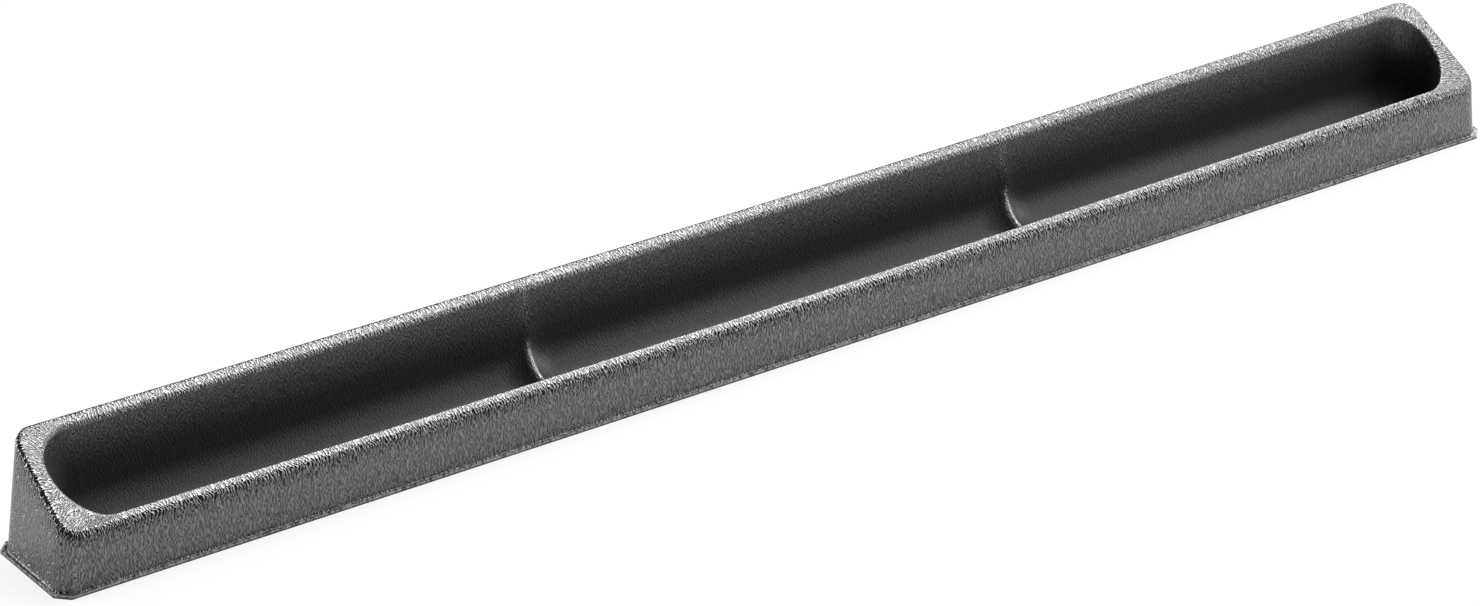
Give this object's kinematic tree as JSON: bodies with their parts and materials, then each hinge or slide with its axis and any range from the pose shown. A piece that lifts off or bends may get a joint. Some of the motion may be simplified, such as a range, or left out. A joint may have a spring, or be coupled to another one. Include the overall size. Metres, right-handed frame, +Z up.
{
  "type": "tool drawer insert",
  "caption": "Long, narrow, wedge-shaped formed-plastic drawer insert with a round-bottomed trough, low crosswise ribs and a trimmed foot flange.",
  "frame": {"origin": "centre of the footprint, in the plane of the drawer bottom", "axes": "+X along the length, -Y towards the low front edge, +Z up"},
  "size_m": [0.566, 0.04, 0.0392],
  "materials": {
    "formed_sheet": "charcoal black formed sheet with a fine leather grain and a soft satin sheen"
  },
  "bodies": {
    "root": {"drawer_insert": "formed_sheet"}
  },
  "joints": []
}
